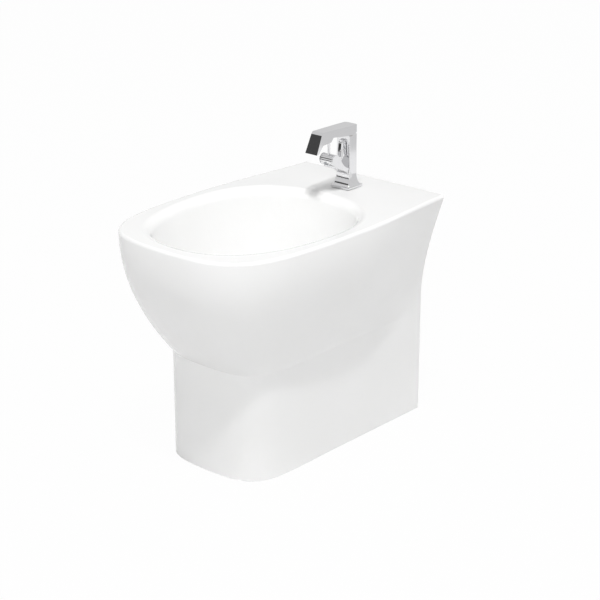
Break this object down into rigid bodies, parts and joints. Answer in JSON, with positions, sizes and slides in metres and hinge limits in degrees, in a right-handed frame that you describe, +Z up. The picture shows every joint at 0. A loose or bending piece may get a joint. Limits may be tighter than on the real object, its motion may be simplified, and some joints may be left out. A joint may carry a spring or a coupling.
{
  "type": "bidet",
  "caption": "Back-to-wall bidet: floor-standing china body with an oval bowl, a square lever tap with a tilting jet, a push-to-close waste and a bottle trap.",
  "frame": {"origin": "on the floor in the middle of the footprint: half way between the wall plane and the front of the bowl, on the left-right centre plane", "axes": "+X to the right of someone facing the wall, +Y towards the wall, +Z up"},
  "size_m": [0.362, 0.54, 0.542],
  "materials": {
    "china": "gloss white glaze on vitreous china",
    "tap_chrome": "polished chrome plate on cast brass",
    "waste_chrome": "polished chrome plate on brass",
    "brass": "machined brass",
    "zinc_steel": "bright zinc plated steel",
    "rubber": "black moulded rubber",
    "aerator_plastic": "light grey moulded plastic",
    "cartridge_plastic": "off-white moulded plastic"
  },
  "bodies": {
    "root": {"ceramic_body": "china", "waste_body": "waste_chrome", "waste_flange_seal": "rubber", "waste_lower_seal": "rubber", "waste_backnut": "brass", "click_cartridge": "brass", "union_nut": "waste_chrome", "union_seal": "rubber", "tail_pipe": "waste_chrome", "trap_body": "waste_chrome", "trap_cup": "waste_chrome", "trap_cup_seal": "rubber", "trap_inlet_nut": "waste_chrome", "trap_inlet_seal": "rubber", "trap_outlet_nut": "waste_chrome", "trap_outlet_seal": "rubber", "outlet_pipe": "waste_chrome", "floor_bracket_left": "zinc_steel", "floor_bracket_right": "zinc_steel", "clamp_bolts": "zinc_steel", "clamp_nuts": "zinc_steel", "clamp_pads": "rubber", "tap_body": "tap_chrome", "tap_base_gasket": "rubber", "tap_rubber_washer": "rubber", "tap_clamp_plate": "zinc_steel", "tap_fixing_nut": "brass", "tap_fixing_stud": "zinc_steel", "feed_pipe": "tap_chrome", "nozzle_cheeks": "tap_chrome", "cartridge_housing": "cartridge_plastic", "cartridge_seal": "rubber", "cartridge_ring": "brass"},
    "plug": {"waste_plug": "waste_chrome", "plug_seal": "rubber", "plug_stem": "brass"},
    "turret": {"cartridge_turret": "cartridge_plastic", "spindle_pin": "zinc_steel"},
    "lever_arm": {"lever": "tap_chrome", "cartridge_spindle": "brass", "lever_grub_screw": "zinc_steel", "grub_screw_cover": "aerator_plastic"},
    "jet": {"jet_nozzle": "tap_chrome", "aerator": "aerator_plastic"}
  },
  "joints": [
    {"name": "lever_turn", "type": "hinge", "parent": "root", "child": "turret", "pos_m": [0, 0.1979, 0.518], "axis": [0, 0, 1], "range_deg": [-45, 45]},
    {"name": "lever_lift", "type": "hinge", "parent": "turret", "child": "lever_arm", "pos_m": [0, 0.1979, 0.518], "axis": [-1, 0, 0], "range_deg": [0, 22]},
    {"name": "jet_tilt", "type": "hinge", "parent": "root", "child": "jet", "pos_m": [0, 0.1489, 0.485], "axis": [1, 0, 0], "range_deg": [-15, 15]},
    {"name": "plug_lift", "type": "slide", "parent": "root", "child": "plug", "axis": [0, 0, 1], "range_m": [0, 0.009]}
  ]
}
